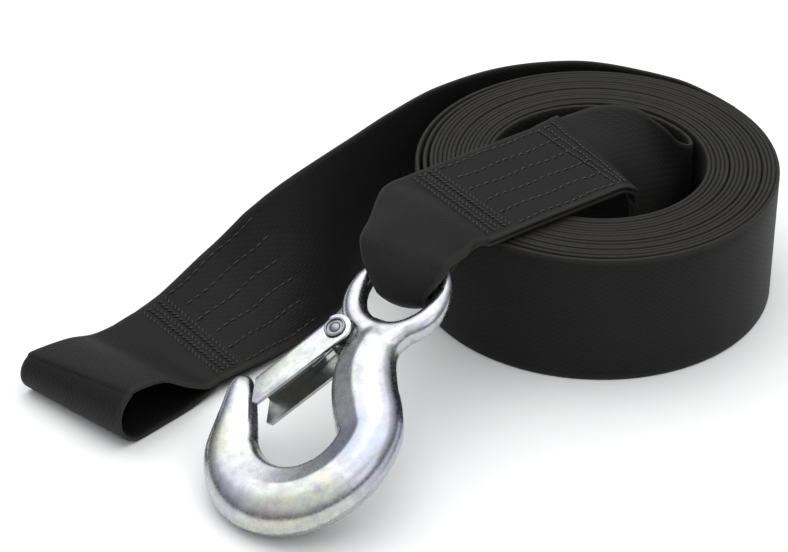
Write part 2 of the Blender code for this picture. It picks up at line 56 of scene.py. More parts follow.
# The webbing and its coil, as part.py has them.
WEB_WIDTH = 50.0 * MM
WEB_THICK = 1.5 * MM
PLY_PITCH = 1.8 * MM
COIL_AXIS = Vector((63.0, -28.8, 0.0)) * MM
COIL_INNER_RADIUS = 37.3 * MM
COIL_TURNS = 16
COIL_PITCH = 1.66 * MM
COIL_START_DEG = -25.0
COIL_END_DEG = -20.0
COIL_STEPS_PER_TURN = 120
COIL_COLUMNS = 8
# Wound tight, the layers are a little thinner, and what is left over opens as a few uneven gaps:
# turn counted from the inside, share of the slack, and the direction in which the gap is widest.
LAYER_THICK = 1.48 * MM
GAP_EVERYWHERE = 0.15
COIL_GAPS = (
    (1, 9.0, 5.0),
    (3, 2.0, -120.0),
    (6, 3.5, -95.0),
    (8, 2.5, 60.0),
    (10, 3.0, -110.0),
    (12, 2.0, 80.0),
    (13, 3.0, -80.0),
    (15, 15.0, 128.0),
)
LAYER_RISE = 0.5 * MM
RISE_WAVES = ((0.37, 0.4), (0.61, 1.9), (1.13, 4.0))

# The drum end. Rows are x, y, z and lean, in mm and degrees from the coil's axis.
TAIL_ROUTE = (
    (60.95, -22.20, 25.0, 90.0),
    (65.0, -8.0, 25.0, 90.0),
    (66.5, 8.0, 25.0, 90.0),
    (61.0, 35.0, 25.0, 90.0),
    (51.0, 51.0, 25.0, 90.0),
    (34.0, 65.5, 25.0, 90.0),
    (10.0, 75.5, 25.0, 90.0),
    (-15.0, 77.5, 25.0, 86.0),
    (-40.0, 76.0, 24.5, 76.0),
    (-65.0, 75.0, 23.0, 59.0),
    (-84.0, 78.5, 18.0, 38.0),
    (-100.0, 83.5, 12.0, 20.0),
    (-116.0, 88.0, 7.5, 7.0),
    (-127.5, 91.0, 5.8, 2.5),
)
TAIL_STEPS = 12
DRUM_SEAM_LENGTH = 58.0 * MM
DRUM_LOOP_DIRECTION_DEG = 172.0
# The loop's side view at its near and its far edge: distance from the seam and height, in mm.
DRUM_LOOP_NEAR = {
    "upper": ((3.0, 4.8), (9.0, 5.0), (18.0, 10.5), (28.0, 18.0)),
    "reach": 49.0,
    "radius": 10.2,
    "lower": ((30.0, 0.75), (20.0, 0.75), (11.0, 1.8), (4.0, 3.2)),
}
DRUM_LOOP_FAR = {
    "upper": ((3.0, 6.6), (9.0, 6.4), (18.0, 7.6), (29.0, 11.6)),
    "reach": 50.0,
    "radius": 6.9,
    "lower": ((30.0, 0.75), (20.0, 0.75), (11.0, 2.2), (4.0, 4.2)),
}
LOOP_STEPS = 5
RIBBON_COLUMNS = 40

# The hook end.
LEAD_DIRECTION_DEG = 160.6
LEAD_ROUTE = (
    (34.4, -16.2, 25.0, 90.0),
    (31.5, -20.5, 25.0, 90.0),
    (27.0, -23.0, 26.0, 88.0),
    (21.0, -22.0, 29.5, 78.0),
    (15.0, -15.5, 36.0, 56.0),
    (9.0, -6.5, 45.0, 32.0),
    (2.5, -1.5, 50.0, 12.0),
    (-4.0, 1.4, 52.1, 3.0),
    (-9.43, 3.32, 52.25, 0.0),
)
LEAD_STEPS = 8
LEAD_HINGE_REACH = 10.0 * MM
LEAD_REACH = 66.0 * MM
LEAD_ROW_SPACING = 1.4 * MM
RIM_GAP = 1.5 * MM
LEAD_SEAM_LENGTH = 66.0 * MM
EYE_PITCH_DEG = 14.5
EYE_REACH = 19.0
EYE_HEIGHT = 8.8
EYE_STEPS = 5
# Distance behind the ring's bar, height, width, thickness, bow of the section and share of the turn
# from the lead's direction to the ring's; the webbing is gathered most inside the ring.
EYE_LOWER = (
    (20.0, -2.6, 46.5, 1.7, 0.6, 0.16),
    (9.0, -5.2, 32.0, 2.3, 2.0, 0.40),
)
EYE_UPPER = (
    (9.0, 7.6, 44.0, 2.2, 5.8, 0.40),
    (20.0, 3.4, 48.5, 1.8, 3.4, 0.16),
)
EYE_TURN_SHARE = 0.52
EYE_WIDTH = 21.5
EYE_FLARE = 18.0
EYE_THICK = 3.2
EYE_BOW = 2.4

# The sewing.
LONG_ROWS = 6
SEAM_MARGIN = 3.5 * MM
ROW_WAVE = 0.4 * MM
ROW_WAVELENGTH = 21.0 * MM
STITCH_LENGTH = 3.3 * MM
STITCH_RADIUS = 0.32 * MM
CROSS_ROWS = 5
CROSS_PITCH = 2.3 * MM
CROSS_STEP = 2.0 * MM
CROSS_START = 1.6 * MM
LONG_START = 14.0 * MM
CROSS_SLANT = 0.6 * MM
END_PITCH = 2.6 * MM
END_SLANT = 0.12 * MM
SEWING_JITTER = 0.15 * MM
PUCKER_DEPTH = 0.25 * MM
PUCKER_WIDTH = 0.9 * MM

# The hook, in its own frame: +X from the ring to the bowl, +Y across, +Z its upper face.
RING_CENTRE = Vector((-104.6, 11.7, 46.3)) * MM
HOOK_AZIMUTH_DEG = 196.5
HOOK_PITCH_DEG = 22.8
HOOK_ROLL_DEG = 13.5
RING_RADIUS = 15.1
RING_INNER_RADIUS = 12.3
# Angle from the shank and the bar's radius there: it thickens towards its two roots.
RING_ROWS = (
    (0.0, 4.6),
    (45.0, 4.3),
    (90.0, 3.1),
    (135.0, 2.8),
    (180.0, 2.8),
    (225.0, 2.9),
    (270.0, 3.8),
    (315.0, 4.6),
    (360.0, 4.6),
)
BOWL_CENTRE = (57.0, -18.0)
SHANK_ROWS = (
    (13.5, 0.5, 6.6, 3.0),
    (17.0, -1.2, 8.4, 4.8),
    (22.0, -2.6, 8.8, 6.6),
    (31.0, -2.9, 10.4, 7.4),
    (41.0, 0.1, 11.1, 7.9),
    (50.0, 4.6, 11.3, 8.1),
)
BOWL_ROWS = (
    (0.0, 25.2, 10.6, 8.2),
    (22.0, 25.3, 10.8, 8.2),
    (45.0, 25.6, 11.2, 8.2),
    (68.0, 26.0, 11.7, 8.2),
    (90.0, 26.0, 11.8, 8.1),
    (112.0, 25.5, 11.4, 7.9),
    (134.0, 24.8, 10.5, 7.5),
    (156.0, 24.3, 9.4, 6.8),
    (175.0, 24.2, 8.1, 6.0),
)
TIP_ROWS = (
    (50.0, -43.8, 6.3, 5.2),
    (43.5, -45.4, 4.9, 4.4),
    (39.0, -46.3, 3.4, 3.2),
    (37.0, -46.6, 1.6, 1.6),
)
SPINE_STEPS = 6
RING_STEPS = 14
BAR_SIDES = 96
BAR_SQUARENESS = 2.3
# The two arms that run from the ring into the shank: along, across, drift and radius.
ARM_ROWS = (
    (10.5, 11.5, 0.0, 3.4),
    (15.0, 7.6, -0.5, 4.4),
    (20.0, 4.0, -1.8, 5.2),
    (26.0, 2.0, -2.8, 6.0),
    (32.0, 0.8, -2.9, 6.6),
)
CHAMFER_DEG = 70.0
CHAMFER_SHARE = 0.95
PARTING_RIDGE = 0.45
PARTING_WIDTH = 0.9
FORGING_VOXEL = 0.4 * MM
PIVOT = (19.6, -15.4)
LATCH_DIRECTION_DEG = -33.6
LATCH_WIDTH = 14.0
LATCH_SHEET = 1.3
LATCH_EAR_RADIUS = 5.4
LATCH_LENGTH = 36.0
LATCH_NOSE_DROP = 2.0
LATCH_WEB_END = (29.5, 7.6)
LATCH_BACK_START = 7.0
LUG_RADIUS = 4.6
LUG_THICK = 6.0
LUG_ROOT = (0.4, 3.2)
PIN_RADIUS = 1.75
PIN_HEAD_RADIUS = 3.8
PIN_HEAD_THICK = 1.0
PIN_RIM_INNER = 2.9
PIN_NUB_RADIUS = 2.0
SPRING_WIRE_RADIUS = 0.45
SPRING_COIL_RADIUS = 3.0
SPRING_LEG = 13.0


# ---------------------------------------------------------------- small helpers

def smooth_points(rows, steps):
    """Catmull-Rom through rows of numbers, with steps points for each stretch."""
    padded = [rows[0], *rows, rows[-1]]
    result = []
    for index in range(1, len(padded) - 2):
        before, start, end, after = padded[index - 1:index + 3]
        for step in range(steps):
            t = step / steps
            result.append(tuple(
                0.5 * (2 * b + (c - a) * t + (2 * a - 5 * b + 4 * c - d) * t * t
                       + (3 * b - a - 3 * c + d) * t ** 3)
                for a, b, c, d in zip(before, start, end, after)))
    result.append(tuple(rows[-1]))
    return result


def flat_direction(angle_deg):
    angle = math.radians(angle_deg)
    return Vector((math.cos(angle), math.sin(angle), 0.0))


def turned(azimuth_deg, pitch_deg, roll_deg):
    azimuth = Matrix.Rotation(math.radians(azimuth_deg), 4, "Z")
    pitch = Matrix.Rotation(math.radians(pitch_deg), 4, "Y")
    roll = Matrix.Rotation(math.radians(roll_deg), 4, "X")
    return azimuth @ pitch @ roll


def add_object(name, builder, made_of=None, smooth=True):
    bmesh.ops.recalc_face_normals(builder, faces=builder.faces)
    mesh = bpy.data.meshes.new(name)
    builder.to_mesh(mesh)
    builder.free()
    if smooth:
        mesh.shade_smooth()
    if made_of:
        mesh.materials.append(made_of)
    made = bpy.data.objects.new(name, mesh)
    bpy.context.scene.collection.objects.link(made)
    return made


def loft(rings, closed=False, builder=None):
    """Join rings of points into one closed body."""
    builder = builder or bmesh.new()
    rows = [[builder.verts.new(point) for point in ring] for ring in rings]
    pairs = list(zip(rows, rows[1:]))
    if closed:
        pairs.append((rows[-1], rows[0]))
    for lower, upper in pairs:
        count = len(lower)
        for index in range(count):
            following = (index + 1) % count
            builder.faces.new((lower[index], lower[following], upper[following], upper[index]))
    if not closed:
        builder.faces.new(rows[0])
        builder.faces.new(rows[-1])
    return builder


def round_ring(centre, across, upward, radius, sides):
    ring = []
    for index in range(sides):
        angle = 2 * math.pi * index / sides
        ring.append(centre + across * radius * math.cos(angle) + upward * radius * math.sin(angle))
    return ring


# ---------------------------------------------------------------- node helpers

class Nodes:
    """Short calls for building a material's node tree."""

    def __init__(self, name):
        self.material = bpy.data.materials.new(name)
        self.material.use_nodes = True
        self.tree = self.material.node_tree
        self.shader = self.tree.nodes["Principled BSDF"]

    def add(self, kind, **settings):
        node = self.tree.nodes.new(kind)
        for key, value in settings.items():
            setattr(node, key, value)
        return node

    def feed(self, socket, value):
        if isinstance(value, bpy.types.NodeSocket):
            self.tree.links.new(value, socket)
        else:
            socket.default_value = value

    def math(self, operation, *values):
        node = self.add("ShaderNodeMath", operation=operation)
        for socket, value in zip(node.inputs, values):
            self.feed(socket, value)
        return node.outputs[0]

    def noise(self, vector, scale, detail=2.0, roughness=0.5):
        node = self.add("ShaderNodeTexNoise")
        self.feed(node.inputs["Vector"], vector)
        node.inputs["Scale"].default_value = scale
        node.inputs["Detail"].default_value = detail
        node.inputs["Roughness"].default_value = roughness
        return node.outputs["Fac"]

    def spread(self, value, low, high, to_low=0.0, to_high=1.0):
        node = self.add("ShaderNodeMapRange")
        self.feed(node.inputs["Value"], value)
        node.inputs["From Min"].default_value = low
        node.inputs["From Max"].default_value = high
        node.inputs["To Min"].default_value = to_low
        node.inputs["To Max"].default_value = to_high
        return node.outputs["Result"]

    def mix(self, share, first, second, blend="MIX"):
        node = self.add("ShaderNodeMix", data_type="RGBA", blend_type=blend)
        self.feed(node.inputs["Factor"], share)
        self.feed(node.inputs[6], first)
        self.feed(node.inputs[7], second)
        return node.outputs[2]

    def bump(self, height, strength, distance, normal=None):
        node = self.add("ShaderNodeBump")
        self.feed(node.inputs["Height"], height)
        node.inputs["Strength"].default_value = strength
        node.inputs["Distance"].default_value = distance
        if normal:
            self.feed(node.inputs["Normal"], normal)
        return node.outputs["Normal"]

    def object_place(self):
        return self.add("ShaderNodeTexCoord").outputs["Object"]


# ---------------------------------------------------------------- materials

YARN_PITCH = 1.15 * MM
FLOAT_LENGTH = 3.4 * MM
TWILL_STEP = 0.5
WEB_FACE = (0.0028, 0.0029, 0.0028, 1.0)
# painted highlight: the yarn crowns are coloured lighter than the face between them
WEB_CROWN_HIGHLIGHT = (0.0085, 0.0085, 0.008, 1.0)
WEB_MOTTLE = (0.0085, 0.008, 0.007, 1.0)
# painted highlight: the selvedges are coloured lighter, standing in for light on the strap's top edges
WEB_SELVEDGE_HIGHLIGHT = (0.030, 0.028, 0.024, 1.0)
THREAD_DARK = (0.007, 0.007, 0.007, 1.0)
THREAD_LIGHT = (0.026, 0.026, 0.027, 1.0)


def webbing_material(name):
    """Black herringbone webbing: rows of warp yarn that pass over and under the weft."""
    nodes = Nodes(name)
    place = nodes.add("ShaderNodeUVMap", uv_map="weave").outputs["UV"]
    parts = nodes.add("ShaderNodeSeparateXYZ")
    nodes.feed(parts.inputs[0], place)
    along, across = parts.outputs["X"], parts.outputs["Y"]
    yarns = nodes.math("DIVIDE", across, YARN_PITCH)
    number = nodes.math("FLOOR", yarns)
    inside = nodes.math("FRACT", yarns)
    crest = nodes.math("SINE", nodes.math("MULTIPLY", inside, math.pi))
    step = nodes.math("MULTIPLY", number, TWILL_STEP)
    floats = nodes.math("ADD", nodes.math("DIVIDE", along, FLOAT_LENGTH), step)
    wave = nodes.math("SINE", nodes.math("MULTIPLY", floats, 2 * math.pi))
    over = nodes.spread(wave, -0.75, 0.75)
    height = nodes.math("MULTIPLY", crest, nodes.math("MULTIPLY_ADD", over, 0.7, 0.3))
    shape = nodes.object_place()
    fuzz = nodes.noise(shape, 2600.0, 2.0)
    mottle = nodes.noise(shape, 38.0, 3.0)
    patchy = nodes.spread(mottle, 0.35, 0.7, 0.0, 0.55)
    shade = nodes.math("MULTIPLY", height, nodes.math("ADD", nodes.spread(fuzz, 0.2, 0.8), 0.3))
    # painted highlight and shade: crowns coloured lighter and hollows between yarns darker, following
    # the weave's height, with random fuzz tone on top
    colour = nodes.mix(shade, WEB_FACE, WEB_CROWN_HIGHLIGHT)
    colour = nodes.mix(patchy, colour, WEB_MOTTLE)
    # painted highlight: the colour lightens towards both selvedges
    edge = nodes.spread(nodes.math("ABSOLUTE", across), 0.0225, 0.0252, 0.0, 0.75)
    colour = nodes.mix(edge, colour, WEB_SELVEDGE_HIGHLIGHT)
    nodes.feed(nodes.shader.inputs["Base Color"], colour)
    nodes.feed(nodes.shader.inputs["Roughness"], nodes.spread(fuzz, 0.2, 0.8, 0.50, 0.72))
    relief = nodes.math("MULTIPLY_ADD", fuzz, 0.25, height)
    nodes.feed(nodes.shader.inputs["Normal"], nodes.bump(relief, 0.5, 0.18 * MM))
    nodes.shader.inputs["Sheen Weight"].default_value = 0.03
    nodes.shader.inputs["Sheen Roughness"].default_value = 0.45
    nodes.shader.inputs["Specular IOR Level"].default_value = 0.17
    return nodes.material


def thread_material(name):
    """Bonded black polyester thread: twisted, a little shinier than the webbing."""
    nodes = Nodes(name)
    shape = nodes.object_place()
    twist = nodes.noise(shape, 1900.0, 1.0)
    colour = nodes.mix(nodes.spread(twist, 0.3, 0.7), THREAD_DARK, THREAD_LIGHT)
    nodes.feed(nodes.shader.inputs["Base Color"], colour)
    nodes.feed(nodes.shader.inputs["Roughness"], nodes.spread(twist, 0.2, 0.8, 0.35, 0.55))
    nodes.feed(nodes.shader.inputs["Normal"], nodes.bump(twist, 0.5, 0.1 * MM))
    return nodes.material


def zinc_material(name, grain=0.3, roughness=(0.20, 0.34), level=1.0):
    """Bright zinc plate: clear passivation leaves faint blue, violet and yellow tints."""
    nodes = Nodes(name)
    shape = nodes.object_place()
    broad = nodes.noise(shape, 34.0, 3.0)
    fine = nodes.noise(shape, 900.0, 3.0)
    pits = nodes.noise(shape, 260.0, 4.0, 0.6)
    ramp = nodes.add("ShaderNodeValToRGB")
    nodes.feed(ramp.inputs[0], broad)
    stops = ((0.36, (0.54, 0.60, 0.74)), (0.45, (0.67, 0.63, 0.76)), (0.52, (0.74, 0.75, 0.75)),
             (0.60, (0.69, 0.75, 0.67)), (0.68, (0.75, 0.72, 0.61)))
    while len(ramp.color_ramp.elements) < len(stops):
        ramp.color_ramp.elements.new(0.5)
    for element, (position, colour) in zip(ramp.color_ramp.elements, stops):
        element.position = position
        element.color = (*(level * part for part in colour), 1.0)
    speckle = nodes.spread(pits, 0.30, 0.62, 0.0, 1.0)
    colour = nodes.mix(speckle, (0.52 * level, 0.53 * level, 0.56 * level, 1.0), ramp.outputs["Color"])
    nodes.feed(nodes.shader.inputs["Base Color"], colour)
    nodes.shader.inputs["Metallic"].default_value = 1.0
    nodes.feed(nodes.shader.inputs["Roughness"], nodes.spread(fine, 0.25, 0.75, *roughness))
    rough = nodes.math("MULTIPLY_ADD", fine, 0.3, pits)
    nodes.feed(nodes.shader.inputs["Normal"], nodes.bump(rough, grain, 0.05 * MM))
    return nodes.material


def floor_material():
    nodes = Nodes("studio_floor")
    shape = nodes.object_place()
    grain = nodes.noise(shape, 30.0, 2.0)
    colour = nodes.mix(grain, (0.90, 0.90, 0.90, 1.0), (0.92, 0.92, 0.92, 1.0))
    nodes.feed(nodes.shader.inputs["Base Color"], colour)
    nodes.shader.inputs["Roughness"].default_value = 0.6
    nodes.shader.inputs["Specular IOR Level"].default_value = 0.2
    return nodes.material


# ---------------------------------------------------------------- ribbons of webbing

class Row:
    """One cross-section of the webbing: its middle, the way across, and its face's normal."""

    def __init__(self, centre, across, normal, width=WEB_WIDTH, thick=WEB_THICK, bow=0.0):
        self.centre = centre
        self.across = across.normalized()
        self.normal = normal.normalized()
        self.width = width
        self.thick = thick
        self.bow = bow
        self.along = 0.0

    def point(self, across, height):
        """A point of the section; a bowed one drops towards its two selvedges."""
        share = 2 * across / self.width
        drop = self.bow * share * share
        return self.centre + self.across * across + self.normal * (height - drop)


def measured(rows, start=0.0):
    """Write each row's distance along the webbing."""
    rows[0].along = start
    for before, row in zip(rows, rows[1:]):
        row.along = before.along + (row.centre - before.centre).length
    return rows


def section(row, columns, relief):
    """Points round the ribbon's section with their places across it, for the weave."""
    radius = row.thick / 2
    flat = row.width / 2 - radius
    scale = WEB_WIDTH / row.width
    ring = []
    for index in range(columns + 1):
        place = flat * (1 - 2 * index / columns)
        ring.append((row.point(place, radius + relief(row, place * scale, 1)), place * scale))
    for angle in (45, 90, 135):
        turn = math.radians(angle)
        place = -flat - radius * math.sin(turn)
        ring.append((row.point(place, radius * math.cos(turn)), place * scale))
    for index in range(columns + 1):
        place = -flat * (1 - 2 * index / columns)
        ring.append((row.point(place, -radius - relief(row, place * scale, -1)), place * scale))
    for angle in (135, 90, 45):
        turn = math.radians(angle)
        place = flat + radius * math.sin(turn)
        ring.append((row.point(place, radius * math.cos(turn)), place * scale))
    return ring


def no_relief(row, across, side):
    return 0.0


def ribbon(name, rows, columns, made_of, relief=no_relief):
    """A closed strip with rounded selvedges, and a UV map in metres along and across it."""
    builder = bmesh.new()
    weave = builder.loops.layers.uv.new("weave")
    rings = []
    for row in rows:
        ring = []
        for place, across in section(row, columns, relief):
            ring.append((builder.verts.new(place), row.along, across))
        rings.append(ring)
    for lower, upper in zip(rings, rings[1:]):
        count = len(lower)
        for index in range(count):
            following = (index + 1) % count
            corners = (lower[index], lower[following], upper[following], upper[index])
            face = builder.faces.new([corner[0] for corner in corners])
            for loop, corner in zip(face.loops, corners):
                loop[weave].uv = corner[1:]
    for ring in (rings[0], rings[-1]):
        face = builder.faces.new([corner[0] for corner in ring])
        for loop, corner in zip(face.loops, ring):
            loop[weave].uv = corner[1:]
    return add_object(name, builder, made_of)


def route_rows(route, steps):
    """Rows along a route of x, y, z and lean, whose strip leans over to the right of its heading."""
    points = smooth_points(route, steps)
    places = [Vector(point[:3]) * MM + COIL_AXIS for point in points]
    rows = []
    for index, place in enumerate(places):
        heading = places[min(index + 1, len(places) - 1)] - places[max(index - 1, 0)]
        heading.normalize()
        lean = math.radians(points[index][3])
        right = heading.cross(UP).normalized()
        across = right * math.cos(lean) + UP * math.sin(lean)
        rows.append(Row(place, across, across.cross(heading)))
    return rows


def gap_share(turn, direction):
    """How much of the slack opens under a turn of the coil, in a direction."""
    share = GAP_EVERYWHERE
    for gap_turn, amount, widest_deg in COIL_GAPS:
        if gap_turn == turn:
            facing = 0.5 + 0.5 * math.cos(direction - math.radians(widest_deg))
            share += amount * facing * facing
    return share


def slack_under(turn, direction):
    total = COIL_TURNS * (COIL_PITCH - LAYER_THICK)
    shares = [gap_share(number, direction) for number in range(1, COIL_TURNS + 1)]
    return total * sum(shares[:turn]) / sum(shares)


def coil_rows():
    """A spiral whose layers lie close together, with the slack gathered into a few gaps."""
    rows = []
    sweep_deg = 360.0 * COIL_TURNS + COIL_END_DEG - COIL_START_DEG
    count = round(sweep_deg * COIL_STEPS_PER_TURN / 360.0)
    for index in range(count + 1):
        turned_deg = sweep_deg * index / count
        turn = int(turned_deg // 360.0)
        share = turned_deg / 360.0 - turn
        direction = math.radians(COIL_START_DEG + turned_deg)
        slack = slack_under(turn, direction) * (1 - share)
        slack += slack_under(min(turn + 1, COIL_TURNS), direction) * share
        radius = COIL_INNER_RADIUS + WEB_THICK / 2 + LAYER_THICK * turned_deg / 360.0 + slack
        outward = Vector((math.cos(direction), math.sin(direction), 0.0))
        wave = sum(0.5 + 0.5 * math.sin(rate * direction + phase) for rate, phase in RISE_WAVES)
        fade = min(1.0, index / COIL_STEPS_PER_TURN, (count - index) / COIL_STEPS_PER_TURN)
        rise = LAYER_RISE * fade * wave / len(RISE_WAVES)
        centre = COIL_AXIS + outward * radius + UP * (WEB_WIDTH / 2 + rise)
        rows.append(Row(centre, UP, -outward, thick=LAYER_THICK))
    return rows


def tail_rows():
    return route_rows(TAIL_ROUTE, TAIL_STEPS)


def loop_side(edge):
    """One edge of the drum loop, out along its upper ply, round the bight and back."""
    side = list(edge["upper"])
    crown = edge["reach"] - edge["radius"]
    middle = WEB_THICK / MM / 2 + edge["radius"]
    for angle in range(80, -81, -20):
        turn = math.radians(angle)
        side.append((crown + edge["radius"] * math.cos(turn), middle + edge["radius"] * math.sin(turn)))
    return side + list(edge["lower"])


def drum_loop_rows(last):
    """Rows from the near edge to the far edge of the loop, which is taller at its near edge."""
    heading = flat_direction(DRUM_LOOP_DIRECTION_DEG)
    level = heading.cross(UP)
    pairs = [(*near, *far) for near, far in zip(loop_side(DRUM_LOOP_NEAR), loop_side(DRUM_LOOP_FAR))]
    foot = Vector((last.centre.x, last.centre.y, 0.0))
    edges = []
    for near_along, near_height, far_along, far_height in smooth_points(pairs, LOOP_STEPS):
        near = foot + heading * near_along * MM + UP * near_height * MM - level * WEB_WIDTH / 2
        far = foot + heading * far_along * MM + UP * far_height * MM + level * WEB_WIDTH / 2
        edges.append((near, far))
    rows = []
    for index, (near, far) in enumerate(edges):
        before = edges[max(index - 1, 0)]
        after = edges[min(index + 1, len(edges) - 1)]
        slope = after[0] + after[1] - before[0] - before[1]
        across = far - near
        rows.append(Row((near + far) / 2, across, across.cross(slope)))
    return rows


def seam_rows(rows, length):
    """The rows within a length of the last one, last first."""
    measured(rows)
    kept = [row for row in rows if rows[-1].along - row.along <= length]
    return kept[::-1]


def drum_end_rows():
    """The tail, its loop and the ply that comes back under the tail."""
    tail = measured(tail_rows())
    rows = list(tail)
    rows += drum_loop_rows(tail[-1])
    for row in seam_rows(tail, DRUM_SEAM_LENGTH):
        rows.append(Row(row.point(0.0, -PLY_PITCH), row.across, -row.normal))
    return measured(rows), tail


def lead_row(reach, ply):
    forward = flat_direction(LEAD_DIRECTION_DEG)
    height = WEB_WIDTH + RIM_GAP + WEB_THICK / 2 + ply * PLY_PITCH
    centre = COIL_AXIS + forward * reach + UP * height
    return Row(centre, forward.cross(UP), UP)


def hook_matrix():
    """The hook's own frame, at the middle of its ring."""
    turn = turned(HOOK_AZIMUTH_DEG, HOOK_PITCH_DEG, HOOK_ROLL_DEG)
    return Matrix.Translation(RING_CENTRE + COIL_AXIS) @ turn


def eye_matrix():
    """The sewn eye's frame: on the middle of the ring's bar, more level than the hook."""
    bar = hook_matrix() @ Vector((-RING_RADIUS * MM, 0.0, 0.0))
    return Matrix.Translation(bar) @ turned(HOOK_AZIMUTH_DEG, EYE_PITCH_DEG, HOOK_ROLL_DEG)


def eye_rows():
    """The webbing leaves the lower ply, turns round the ring's bar and comes back on top."""
    place = eye_matrix()
    across = place.to_3x3() @ Vector((0.0, -1.0, 0.0))
    lower = lead_row(LEAD_REACH, 0)
    upper = lead_row(LEAD_REACH, 1)
    rough = [(*lower.centre, *lower.across, 50.0, 1.5, 0.0)]

    def gathered(along, height, width, thick, bow, share):
        centre = place @ Vector((along * MM, 0.0, height * MM))
        way = lower.across.lerp(across, share)
        return (*centre, *way, width, thick, bow)

    for along, *rest in EYE_LOWER:
        rough.append(gathered(-along, *rest))
    for angle in range(-80, 81, 20):
        turn = math.radians(angle)
        width = EYE_WIDTH + EYE_FLARE * max(0.0, math.sin(turn)) ** 2
        rough.append(gathered(EYE_REACH * math.cos(turn), EYE_HEIGHT * math.sin(turn),
                              width, EYE_THICK, EYE_BOW, EYE_TURN_SHARE))
    for along, *rest in EYE_UPPER:
        rough.append(gathered(-along, *rest))
    rough.append((*upper.centre, *upper.across, 50.0, 1.5, 0.0))
    points = smooth_points(rough, EYE_STEPS)
    rows = []
    for index, point in enumerate(points):
        before = Vector(points[max(index - 1, 0)][:3])
        after = Vector(points[min(index + 1, len(points) - 1)][:3])
        way = Vector(point[3:6])
        normal = way.cross(after - before)
        rows.append(Row(Vector(point[:3]), way, normal, point[6] * MM, point[7] * MM,
                        -point[8] * MM))
    return rows


def hook_end_rows():
    """The root that climbs out of the coil, the sewn lead, the eye and the ply on top."""
    rows = route_rows(LEAD_ROUTE, LEAD_STEPS)
    steps = round((LEAD_REACH - LEAD_HINGE_REACH) / LEAD_ROW_SPACING)
    spacing = (LEAD_REACH - LEAD_HINGE_REACH) / steps
    rows += [lead_row(LEAD_HINGE_REACH + spacing * step, 0) for step in range(1, steps)]
    measured(rows)
    lower = seam_rows(rows + [lead_row(LEAD_REACH, 0)], LEAD_SEAM_LENGTH)
    rows += eye_rows()
    for row in lower[1:]:
        rows.append(Row(row.point(0.0, PLY_PITCH), row.across, -row.normal))
    return measured(rows), lower


# ---------------------------------------------------------------- sewing

def long_row_place(number, distance):
    """How far across the webbing a long row of stitches runs, at a distance from the loop."""
    spread = WEB_WIDTH - 2 * SEAM_MARGIN
    wave = ROW_WAVE * math.sin(2 * math.pi * distance / ROW_WAVELENGTH + number)
    return spread * (number / (LONG_ROWS - 1) - 0.5) + wave


def pucker(distance, across, length):
    """How far the sewing pulls the webbing in, at a distance from the loop end of the seam."""
    if distance < 0 or distance > length:
        return 0.0
    if distance < CROSS_START + CROSS_PITCH * CROSS_ROWS:
        nearest = min(abs(distance - CROSS_START - CROSS_PITCH * row) for row in range(CROSS_ROWS))
        return PUCKER_DEPTH * 0.8 * math.exp(-(nearest / PUCKER_WIDTH) ** 2)
    nearest = min(abs(across - long_row_place(row, distance)) for row in range(LONG_ROWS))
    return PUCKER_DEPTH * math.exp(-(nearest / PUCKER_WIDTH) ** 2)


class Seam:
    """A sewn stretch: rows of the webbing from the loop end, and the outer faces of its two plies."""

    def __init__(self, rows, length, upper_height, lower_height):
        self.rows = rows
        self.length = length
        self.upper_height = upper_height
        self.lower_height = lower_height

    def place(self, distance, across, side):
        """A point on an outer face, and the normal there."""
        left = distance
        here, ahead, share = self.rows[-2], self.rows[-1], 1.0
        for first, second in zip(self.rows, self.rows[1:]):
            span = (second.centre - first.centre).length
            if left <= span:
                here, ahead, share = first, second, max(left, 0.0) / span
                break
            left -= span
        height = self.upper_height if side > 0 else self.lower_height
        point = here.point(across, height).lerp(ahead.point(across, height), share)
        normal = here.normal.lerp(ahead.normal, share).normalized() * side
        return point - normal * pucker(distance, across, self.length), normal


def stitch(builder, start, end, normal, lift):
    """One stitch: a short thread that rises out of the webbing and goes back in."""
    along = end - start
    side = along.cross(normal).normalized()
    rings = []
    for step in range(7):
        t = step / 6
        arch = math.sin(math.pi * t)
        centre = start + along * t + normal * (lift * arch - 0.25 * STITCH_RADIUS)
        slope = (along + normal * lift * math.pi * math.cos(math.pi * t)).normalized()
        radius = STITCH_RADIUS * (0.55 + 0.45 * arch)
        rings.append(round_ring(centre, side, side.cross(slope), radius, 8))
    loft(rings, builder=builder)


def sew(name, seam, side, made_of, end_rows):
    """All stitches on one face of a seam."""
    builder = bmesh.new()
    chance = random.Random(name)

    def run(first, second):
        start, normal = seam.place(*first, side)
        end, _ = seam.place(*second, side)
        stitch(builder, start, end, normal, STITCH_RADIUS * 1.1)

    for row in range(LONG_ROWS):
        distance = LONG_START - STITCH_LENGTH * 0.5 * (row % 2)
        while distance + STITCH_LENGTH < seam.length - 2 * MM:
            reach = distance + STITCH_LENGTH * 0.86
            run((distance, long_row_place(row, distance)), (reach, long_row_place(row, reach)))
            distance += STITCH_LENGTH
    bands = [(CROSS_START + CROSS_PITCH * row, CROSS_SLANT) for row in range(CROSS_ROWS)]
    bands += [(seam.length - END_PITCH * (row + 1), END_SLANT) for row in range(end_rows)]
    for number, (band, slant) in enumerate(bands):
        across = -WEB_WIDTH / 2 + SEAM_MARGIN
        if number % 2:
            slant = -slant
        while across < WEB_WIDTH / 2 - SEAM_MARGIN:
            place = band + chance.uniform(-SEWING_JITTER, SEWING_JITTER)
            run((place - slant, across), (place + slant, across + CROSS_STEP * 0.88))
            across += CROSS_STEP
    return add_object(name, builder, made_of)


# ---------------------------------------------------------------- the hook

